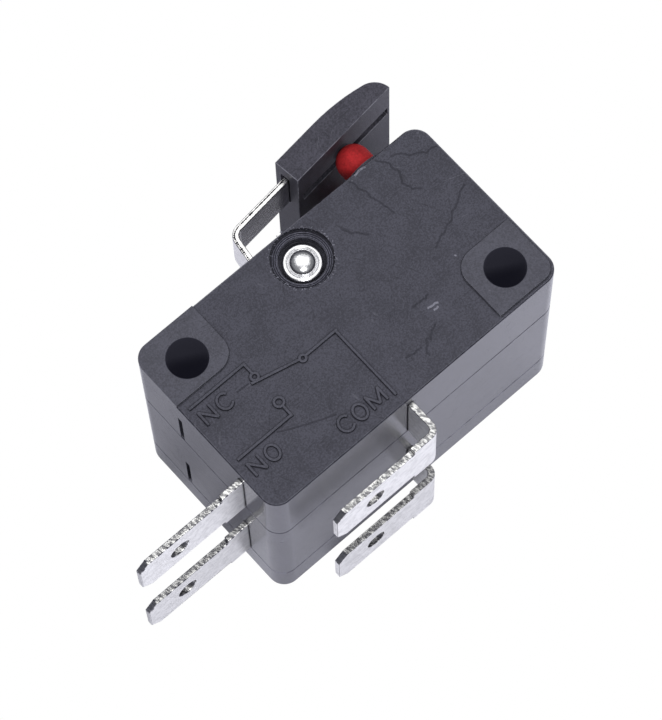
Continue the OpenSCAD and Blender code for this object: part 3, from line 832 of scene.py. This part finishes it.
def shear_ridge_tree():
    """Sets uneven little wedges in a row, as a punch leaves them on a cut edge."""
    tree, given = geometry_tree("shear_ridges", [
        ("Count", "Int", 20), ("Start", "Vector", (0, 0, 0)), ("Step", "Vector", (0.2 * MM, 0, 0)),
        ("Size", "Vector", (0.1 * MM, 0.4 * MM, 0.05 * MM)), ("Seed", "Int", 1)])
    row = result(tree, "GeometryNodeMeshLine", {
        "Count": given["Count"], "Start Location": given["Start"], "Offset": given["Step"]},
        mode="OFFSET")
    wedge = result(tree, "GeometryNodeMeshCone", {
        "Vertices": 6, "Radius Top": 0.32, "Radius Bottom": 0.5, "Depth": 1.0})
    uneven = random_vector(tree, (0.5, 0.55, 0.2), (1.2, 1.0, 1.0), given["Seed"])
    return close_tree(tree, given, instances(
        tree, row, wedge, Scale=vector_maths(tree, "MULTIPLY", uneven, given["Size"])))


def wound_spring_tree():
    """Winds a close coil between two straight leads that end in hooks, along +Z."""
    tree, given = geometry_tree("wound_spring", [
        ("Coil radius", "Float", MM), ("Wire radius", "Float", 0.1 * MM), ("Turns", "Float", 12.0),
        ("Lead", "Float", MM), ("Coil length", "Float", 6 * MM), ("Length", "Float", 10 * MM),
        ("Hook", "Float", 0.8 * MM), ("Turn", "Rotation"), ("Place", "Vector", (0, 0, 0))])

    def point(x=0.0, y=0.0, z=0.0):
        return result(tree, "ShaderNodeCombineXYZ", {0: x, 1: y, 2: z})

    radius, lead, length = given["Coil radius"], given["Lead"], given["Length"]
    coil = result(tree, "GeometryNodeCurveSpiral", {
        "Resolution": 24, "Rotations": given["Turns"], "Start Radius": radius,
        "End Radius": radius, "Height": given["Coil length"]})
    raised = result(tree, "GeometryNodeTransform", {"Geometry": coil, "Translation": point(z=lead)})
    top = plus(tree, lead, given["Coil length"])
    drop = times(tree, given["Hook"], -1.0)
    joined = tree.nodes.new("GeometryNodeJoinGeometry")
    tree.links.new(raised, joined.inputs[0])
    for low, high in (
            (point(y=drop), point()), (point(), point(z=lead)), (point(z=lead), point(radius, z=lead)),
            (point(radius, z=top), point(z=top)), (point(z=top), point(z=length)),
            (point(z=length), point(y=drop, z=length))):
        line = result(tree, "GeometryNodeCurvePrimitiveLine", {"Start": low, "End": high})
        tree.links.new(line, joined.inputs[0])
    section = result(tree, "GeometryNodeCurvePrimitiveCircle", {
        "Resolution": 8, "Radius": given["Wire radius"]})
    wire = result(tree, "GeometryNodeCurveToMesh", {
        "Curve": joined.outputs[0], "Profile Curve": section, "Fill Caps": True})
    placed = result(tree, "GeometryNodeTransform", {
        "Geometry": wire, "Rotation": given["Turn"], "Translation": given["Place"]})
    return close_tree(tree, given, placed)


def flat_paths(paths, height):
    """Poly curves through flat points, each a hair above the last so that no tops coincide."""
    curve = bpy.data.curves.new("paths", "CURVE")
    curve.dimensions = "3D"
    hair = 0.0006 * MM
    for index, (points, closed) in enumerate(paths):
        spline = curve.splines.new("POLY")
        spline.points.add(len(points) - 1)
        for corner, (x, y) in zip(spline.points, points):
            corner.co = (x * MM, y * MM, height + index * hair, 1)
        spline.use_cyclic_u = closed
    return curve


# ---------------------------------------------------------------- pieces


class SWITCH_OT_housing(bpy.types.Operator):
    """Dress the three moulded layers of the housing"""

    bl_idname = "switch.housing"
    bl_label = "Housing layers"

    def execute(self, context):
        size = settings("housing")
        plastic = moulded_plastic(
            "housing_plastic", size.plastic, 0.46, wall_roughness=0.17, scratches=0.60, corner_shade=0.7)
        for layer in ("upper_housing", "middle_housing", "bottom_cover"):
            dress(layer, "housing", "housing", plastic, size.edge_round)
        return {"FINISHED"}


def arc(from_deg, to_deg, steps, wide):
    """Points along an upright oval of unit height, measured from its lower left corner."""
    turns = [math.radians(from_deg + (to_deg - from_deg) * i / steps) for i in range(steps + 1)]
    return [(wide / 2 * (1 + math.cos(turn)), 0.5 + 0.5 * math.sin(turn)) for turn in turns]


# The strokes of each capital at unit height, whether they close, and the step to the next letter.
LETTERS = {
    "N": ([[(0, 0), (0, 1)], [(0, 1), (0.78, 0)], [(0.78, 0), (0.78, 1)]], False, 1.5),
    "M": ([[(0, 0), (0, 1)], [(0, 1), (0.48, 0.1)], [(0.48, 0.1), (0.96, 1)],
           [(0.96, 1), (0.96, 0)]], False, 1.5),
    "C": ([arc(38, 322, 20, 0.90)], False, 1.43),
    "O": ([arc(0, 345, 23, 0.80)], True, 1.46),
}
WORDS = (("NC", -24.39, 5.34), ("NO", -24.32, 0.04), ("COM", -17.43, -1.87))
# The diagram's lines from point to point, and its rings as (x, y, radius), in millimetres.
DIAGRAM = (
    ((-24.7, 7.22), (-19.3, 7.22)), ((-19.4, 7.25), (-19.4, 6.3)), (-19.45, 5.95, 0.30),
    ((-20.0, 5.70), (-16.1, 4.76)), (-15.85, 4.68, 0.26), ((-15.6, 4.7), (-12.5, 4.7)),
    ((-12.65, 4.75), (-12.65, -2.0)), (-19.42, 3.28, 0.38), ((-19.4, 2.85), (-19.4, 1.8)),
    ((-19.3, 1.93), (-24.6, 1.93)),
)


def word_paths(text, x, y, tall):
    """Single-line strokes of a word in capitals from its lower left corner, in millimetres."""
    paths = []
    for letter in text:
        strokes, closed, step = LETTERS[letter]
        paths += [([(x + u * tall, y + v * tall) for u, v in stroke], closed) for stroke in strokes]
        x += step
    return paths


class SWITCH_OT_marks(bpy.types.Operator):
    """Raise the contact diagram and the terminal letters on the face"""

    bl_idname = "switch.marks"
    bl_label = "Contact marks"

    def execute(self, context):
        size = settings("marks")
        tall = (size.letter_height - size.letter_width) / MM
        plastic = moulded_plastic(
            "mark_plastic", settings("housing").plastic, 0.42, scratches=0.7, corner_shade=0.8, flank_shade=0.85)
        tree = moulded_stroke_tree()
        diagram = [(ring(*part, 16), True) if len(part) == 3 else (part, False) for part in DIAGRAM]
        letters = [path for text, x, y in WORDS for path in word_paths(text, x, y, tall)]
        for name, paths, width in (
                ("diagram", diagram, size.line_width), ("letters", letters, size.letter_width)):
            mesh = grown(tree, {
                "Width": width, "Top": width * 0.6, "Relief": size.relief, "Material": plastic},
                flat_paths(paths, FACE_Z + size.relief / 2))
            show(smooth(mesh, 25), "contact_" + name, "housing", "housing", plastic)
        return {"FINISHED"}


WRINKLES = (
    [(-3.9, 12.9), (-3.6, 11.6), (-3.3, 10.2), (-3.2, 8.7)],
    [(-1.3, 12.9), (-0.7, 11.9), (-0.65, 10.9), (-1.1, 10.0), (-0.8, 9.3), (-0.2, 8.75)],
    [(-0.2, 12.4), (0.6, 11.8), (1.5, 11.1), (2.85, 10.6)],
    [(2.2, 7.0), (0.9, 6.2), (-0.9, 5.4), (-2.7, 4.75)],
    [(-7.0, 10.5), (-6.3, 9.5), (-5.7, 8.7)],
    [(-8.75, -1.45), (-8.45, -0.45), (-8.05, -0.25), (-7.8, -0.55), (-7.35, 0.05), (-6.8, 0.15)],
    [(-10.2, -0.35), (-9.4, -0.5), (-8.8, -0.4)],
    [(-7.2, 2.4), (-6.3, 2.25), (-5.5, 2.3)],
)
SCRATCHES = (
    [(-21.05, 1.65), (-19.9, 1.05), (-18.5, 0.42), (-16.9, -0.22)],
    [(-21.2, 5.92), (-20.1, 5.86)],
)
SCUFFS = (
    [(-6.4, 1.52), (-6.1, 1.42), (-5.75, 1.40), (-5.5, 1.30)],
    [(-6.15, 1.08), (-5.9, 1.02), (-5.7, 1.06)], [(-2.1, 3.2), (-2.0, 3.25)],
    [(-3.35, 13.0), (-3.1, 13.07), (-2.8, 13.09), (-2.5, 13.07), (-2.25, 13.0)],
)
RECESS_DEPTH = 0.5 * MM
PRESS_RINGS = (1.96, 2.10, 2.26)


class SWITCH_OT_wear(bpy.types.Operator):
    """Add the moulding wrinkles, scratches, flakes and recess rings of the face"""

    bl_idname = "switch.wear"
    bl_label = "Face wear"

    def execute(self, context):
        size = settings("wear")
        dark = moulded_plastic("wrinkle_plastic", size.wrinkle, 0.6, scratches=0.9)
        pale = moulded_plastic("flake_plastic", size.flake, 0.4, scratches=0.9)
        # The recess rings are painted lighter than the housing, a painted highlight for the light their
        # slopes catch.
        ring_lit_plastic = moulded_plastic(
            "recess_ring_lit_plastic", shade(settings("housing").plastic, 2.6), 0.28, scratches=0.5)
        line_tree, ring_tree = crooked_line_tree(), moulded_stroke_tree()
        for name, lines, width, wander, plastic in (
                ("wrinkles", WRINKLES, 1.0, 1.0, dark), ("scratches", SCRATCHES, 0.9, 0.15, dark),
                ("scuffs", SCUFFS, 1.2, 0.15, pale)):
            mesh = grown(line_tree, {
                "Width": size.wrinkle_width * width, "Relief": size.wrinkle_relief,
                "Wander": size.wander * wander, "Material": plastic},
                flat_paths([(line, False) for line in lines], FACE_Z))
            show(smooth(mesh, 30), "face_" + name, "housing", "housing", plastic)
        for index, radius in enumerate(PRESS_RINGS):
            path = ring(RIVET_X / MM, RIVET_Y / MM, radius, 64)
            mesh = grown(ring_tree, {
                "Width": 0.15 * MM, "Top": 0.05 * MM, "Relief": 0.10 * MM, "Material": ring_lit_plastic},
                flat_paths([(path, True)], FACE_Z - RECESS_DEPTH + 0.035 * MM))
            show(smooth(mesh, 60), f"recess_ring_{index}", "housing", "housing", ring_lit_plastic)
        flecks = grown(fleck_ring_tree(), {
            "Count": size.flecks, "Radius": size.fleck_radius, "Size": size.fleck_size,
            "Seed": size.seed, "Centre": (RIVET_X, RIVET_Y, FACE_Z), "Material": pale})
        show(smooth(flecks, 30), "recess_burrs", "housing", "housing", pale)
        return {"FINISHED"}


# Radius and height of the rivet's closed end, from its lowest point, in millimetres.
TAIL = ((0, 0.12), (0.5, 0.1), (0.62, 0), (1.55, 0), (1.7, 0.1), (1.75, 0.25), (1.75, 0.75), (1.0, 0.75))


class SWITCH_OT_rivet(bpy.types.Operator):
    """Turn the rivet with its rolled rim and domed centre"""

    bl_idname = "switch.rivet"
    bl_label = "Rivet"

    def execute(self, context):
        size = settings("rivet")
        seat = RIVET_HI.z - size.seat_depth
        profile = [(radius * MM, RIVET_LO.z + height * MM) for radius, height in TAIL]
        profile += [(size.shank, seat), (size.rim_middle + 0.1 * MM, seat),
                    (size.rim_middle + size.rim, seat + 0.08 * MM)]
        for turn in map(math.radians, range(-20, 161, 20)):
            profile.append((size.rim_middle + size.rim * math.cos(turn),
                            seat + size.rim * (1 + math.sin(turn))))
        profile += [(1.11 * MM, seat + 0.22 * MM), (1.08 * MM, seat + 0.24 * MM)]
        for turn in map(math.radians, range(0, 90, 9)):
            profile.append((size.dome_radius * math.cos(turn),
                            seat + size.dome_foot + size.dome_rise * math.sin(turn)))
        profile.append((0, seat + size.dome_foot + size.dome_rise))
        nickel = turned_metal("rivet_nickel", (0.92, 0.92, 0.93), 0.20, centre=(RIVET_X, RIVET_Y))
        show(smooth(lathe(profile, RIVET_X, RIVET_Y), 40), "rivet_turned", "housing", "rivet_steel",
             nickel, "rivet")
        return {"FINISHED"}


# Outer edge of the strip's top, from the bent end towards the cap.
STRIP_EDGE = ((-13.34, 12.75), (-12.99, 15.51), (-12.85, 15.92), (-12.71, 16.09), (-12.54, 16.21),
              (-12.12, 16.36), (-7.1, 16.93))


class SWITCH_OT_lever(bpy.types.Operator):
    """Dress the lever strip and its moulded cap"""

    bl_idname = "switch.lever"
    bl_label = "Lever"

    def execute(self, context):
        size = settings("lever")
        steel = plated_sheet(
            "lever_strip_steel", (0.93, 0.92, 0.90), 0.12, bars=6.0, cut_marks=0.0, turn=-6.4)
        dress("lever_strip", "lever", "lever_metal", steel, 0.06 * MM, 3)
        dull = turned_metal("burr_steel", (0.03, 0.03, 0.036), 0.5)
        burrs = grown(burr_row_tree(), {
            "Pitch": size.burr_pitch, "Size": size.burr_size, "Seed": size.seed, "Material": dull},
            flat_paths([(STRIP_EDGE, False)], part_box("lever_strip")[1].z))
        show(smooth(burrs, 30), "lever_strip_burrs", "lever", "lever_metal", dull)
        plastic = moulded_plastic("cap_plastic", size.cap, 0.55, grain=7.0, scratches=0.53)
        dress("lever_cap", "lever", "cap_plastic", plastic, size.cap_round, 3)
        red = moulded_plastic(
            "plunger_plastic", size.plunger, 0.75, grain=5.0, relief=0.004, scratches=0.8,
            wear=size.plunger, fine=1.0, tint=(1, 1, 1), shine=0.2)
        for pole in POLES:
            dress(pole + "_plunger", pole + "_button", "plunger_plastic", red, 0.06 * MM)
        return {"FINISHED"}


# How light each terminal's plating is painted, which is painted light and shade: the lower tabs are
# darker copies of the upper ones. Also how far along each the shear ridges run.
TERMINALS = {
    "upper_no_terminal": (0.96, 7.0 * MM), "upper_com_terminal": (1.0, 6.4 * MM),
    "lower_no_terminal": (0.84, 7.0 * MM), "lower_com_terminal": (0.84, 6.4 * MM),
}


class SWITCH_OT_terminals(bpy.types.Operator):
    """Dress the terminals and set the shear ridges on their cut edges"""

    bl_idname = "switch.terminals"
    bl_label = "Terminals"

    def execute(self, context):
        size = settings("terminals")
        tree = shear_ridge_tree()
        for node, (lit_share, run) in TERMINALS.items():
            pole = node.split("_")[0]
            # Lit and shaded copies of one tin, as painted light and shade.
            tin = plated_sheet(node + "_tin", shade(size.tin, lit_share), 0.24)
            dress(node, "housing", "terminal_metal", tin, 0.09 * MM, 3)
            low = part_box(node)[0]
            for side, name in ((-1, "low"), (1, "high")):
                start = (low.x + 1.0 * MM, low.y + size.thickness / 2,
                         pole_z(pole) + side * size.width / 2)
                mesh = grown(tree, {
                    "Count": int(run / size.ridge_pitch), "Start": start,
                    "Step": (size.ridge_pitch, 0, 0),
                    "Size": (size.ridge_pitch, 0.42 * MM, 2 * size.ridge_height),
                    "Seed": size.seed + 10 * POLES.index(pole) + side, "Material": tin})
                show(smooth(mesh, 20), f"{node}_shear_{name}", "housing", "terminal_metal", tin)
        return {"FINISHED"}


# The holes that the spring's two hooks sit in, and the straight wire beside the coil.
SPRING_START, SPRING_END = Vector((-16.9, 5.75)) * MM, Vector((-5.0, 6.25)) * MM
LEAD, FAR_LEAD, OVERHANG, HOOK = 1.7 * MM, 2.9 * MM, 0.45 * MM, 0.75 * MM


class SWITCH_OT_mechanism(bpy.types.Operator):
    """Dress the contact arms, rockers, contacts and springs inside the housing"""

    bl_idname = "switch.mechanism"
    bl_label = "Mechanism"

    def execute(self, context):
        size = settings("springs")
        bronze = turned_metal("arm_bronze", (0.70, 0.42, 0.22), 0.25)
        steel = turned_metal("rocker_steel", (0.60, 0.60, 0.62), 0.28)
        silver = turned_metal("contact_silver", (0.86, 0.85, 0.82), 0.2)
        wire = turned_metal("spring_wire", (0.55, 0.55, 0.58), 0.22)
        tree = wound_spring_tree()
        along = SPRING_END - SPRING_START
        slope = math.atan2(along.y, along.x)
        turn = Matrix.Rotation(slope, 3, "Z") @ Matrix.Rotation(math.pi / 2, 3, "Y")
        for pole in POLES:
            dress(pole + "_arm", pole + "_contact_arm", "spring_bronze", bronze, 0.04 * MM)
            dress(pole + "_rocker", pole + "_rocker_arm", "rocker_steel", steel, 0.05 * MM)
            dress(pole + "_moving_contact", pole + "_contact_arm", "contact_silver", silver, 0.08 * MM, 3)
            dress(pole + "_no_contact", "housing", "contact_silver", silver, 0.12 * MM, 3)
            mesh = grown(tree, {
                "Coil radius": size.coil_radius, "Wire radius": size.wire / 2,
                "Turns": float(size.turns), "Lead": LEAD, "Hook": HOOK,
                "Coil length": along.length - LEAD - FAR_LEAD, "Length": along.length + OVERHANG,
                "Turn": turn.to_euler(), "Place": (*SPRING_START, pole_z(pole)), "Material": wire})
            show(smooth(mesh, 50), pole + "_spring_wound", pole + "_tension_spring", "spring_steel",
                 wire, pole + "_spring")
        return {"FINISHED"}


def camera_pick(tree, lit, seen):
    """The shader seen for the camera, and the shader lit for everything else."""
    ray = tree.nodes.new("ShaderNodeLightPath").outputs["Is Camera Ray"]
    return result(tree, "ShaderNodeMixShader", {0: ray, 1: lit, 2: seen})


def floor_paper(size):
    """White paper with a painted shadow: the patch beside the tabs is darker and throws less light on the
    switch.
    """
    paper, tree, shader = new_material(
        "floor_paper", (0.80, 0.80, 0.93), Roughness=0.9, Emission_Strength=size.floor_glow)
    axes = split(tree, millimetres(tree))
    far_x = CAD_BOX[1].x / MM
    # Painted shadow of the switch on the floor, seen only in reflections and bounced light.
    shadow_patch = times(tree, ramp(tree, axes[0], far_x - 31.0, far_x - 27.0, 1.0, 0.0),
                   ramp(tree, axes[1], 0.5, 2.5))
    for key, bright, dim in (("Emission Color", (0.93, 0.93, 1.03), (0.3, 0.3, 0.34)),
                             ("Base Color", (0.82, 0.82, 0.91), (0.50, 0.50, 0.56))):
        tree.links.new(blend_colour(tree, shadow_patch, bright, dim), shader.inputs[key])
    white = result(tree, "ShaderNodeEmission", {"Color": (1, 1, 1, 1), "Strength": 1.0})
    end = next(n for n in tree.nodes if n.type == "OUTPUT_MATERIAL")
    tree.links.new(camera_pick(tree, shader.outputs[0], white), end.inputs[0])
    return paper


def add_floor(scene, size):
    half = size.floor_size / 2
    mesh = bpy.data.meshes.new("floor")
    mesh.from_pydata([(-half, -half, 0), (half, -half, 0), (half, half, 0), (-half, half, 0)],
                     [], [(0, 1, 2, 3)])
    mesh.materials.append(floor_paper(size))
    floor = bpy.data.objects.new("floor", mesh)
    scene.collection.objects.link(floor)
    floor.location.z = -0.02 * MM


def add_room(scene):
    """A room that is white to the camera and lights the switch only faintly."""
    world = bpy.data.worlds.new("studio")
    scene.world = world
    world.use_nodes = True
    tree = world.node_tree
    tree.nodes.clear()
    white = result(tree, "ShaderNodeBackground", {"Color": (1, 1, 1, 1), "Strength": 1.0})
    faint = result(tree, "ShaderNodeBackground", {"Color": (0.9, 0.92, 1, 1), "Strength": 0.2})
    end = tree.nodes.new("ShaderNodeOutputWorld")
    tree.links.new(camera_pick(tree, faint, white), end.inputs[0])


def add_lights(scene, size):
    """A softbox overhead and a broad key light, each given by the way towards it."""
    softbox = bpy.data.lights.new("softbox", "AREA")
    softbox.shape = "RECTANGLE"
    softbox.size, softbox.size_y = size.softbox_size
    softbox.energy = size.softbox_power
    key = bpy.data.lights.new("key", "SUN")
    key.energy, key.angle = size.sun_strength, size.sun_spread
    for light, towards, far in (
            (softbox, (0.217, 0.267, 0.939), 0.5), (key, (-0.40, -0.72, 1.15), 1.0)):
        lamp = bpy.data.objects.new(light.name, light)
        scene.collection.objects.link(lamp)
        towards = Vector(towards).normalized()
        lamp.location = Vector(size.aim) + towards * far
        lamp.rotation_mode = "QUATERNION"
        lamp.rotation_quaternion = (-towards).to_track_quat("-Z", "Y")


def add_camera(scene, size):
    camera = bpy.data.cameras.new("camera")
    camera.lens, camera.sensor_width = size.lens, 36
    camera.clip_start, camera.clip_end = 0.01, 20
    eye = bpy.data.objects.new("camera", camera)
    scene.collection.objects.link(eye)
    scene.camera = eye
    level = math.cos(size.elevation)
    away = Vector((level * math.cos(size.azimuth), level * math.sin(size.azimuth),
                   math.sin(size.elevation)))
    right = (-away).cross(Vector((0, 0, 1))).normalized()
    turned = Matrix((right, right.cross(-away), away)).transposed() @ Matrix.Rotation(size.roll, 3, "Z")
    eye.matrix_world = Matrix.Translation(Vector(size.aim) + away * size.distance) @ turned.to_4x4()


class SWITCH_OT_stage(bpy.types.Operator):
    """Set up the floor, the lights and the camera"""

    bl_idname = "switch.stage"
    bl_label = "Studio"

    def execute(self, context):
        size, scene = settings("stage"), context.scene
        scene.view_settings.view_transform = "Standard"
        add_floor(scene, size)
        add_room(scene)
        add_lights(scene, size)
        add_camera(scene, size)
        return {"FINISHED"}


class SWITCH_PT_panel(bpy.types.Panel):
    """Lists the pieces of the switch and their sizes"""

    bl_label = "Lever Micro Switch"
    bl_idname = "SWITCH_PT_panel"
    bl_space_type = "VIEW_3D"
    bl_region_type = "UI"
    bl_category = "Micro Switch"

    def draw(self, context):
        for operator in OPERATORS:
            self.layout.operator(operator.bl_idname)
        for name in SETTINGS:
            group = getattr(context.scene, name)
            box = self.layout.box()
            for key in group.bl_rna.properties.keys():
                if key not in ("rna_type", "name"):
                    box.prop(group, key)


OPERATORS = (
    SWITCH_OT_stage, SWITCH_OT_housing, SWITCH_OT_marks, SWITCH_OT_wear, SWITCH_OT_rivet, SWITCH_OT_lever,
    SWITCH_OT_terminals, SWITCH_OT_mechanism,
)
CLASSES = (*SETTINGS.values(), *OPERATORS, SWITCH_PT_panel)


def register():
    for each in CLASSES:
        bpy.utils.register_class(each)
    for name, group in SETTINGS.items():
        setattr(bpy.types.Scene, name, PointerProperty(type=group))


def unregister():
    for name in SETTINGS:
        delattr(bpy.types.Scene, name)
    for each in reversed(CLASSES):
        bpy.utils.unregister_class(each)


def main():
    register()
    bpy.ops.switch.stage()
    bpy.ops.switch.housing()
    bpy.ops.switch.marks()
    bpy.ops.switch.wear()
    bpy.ops.switch.rivet()
    bpy.ops.switch.lever()
    bpy.ops.switch.terminals()
    bpy.ops.switch.mechanism()


if __name__ == "__main__":
    main()
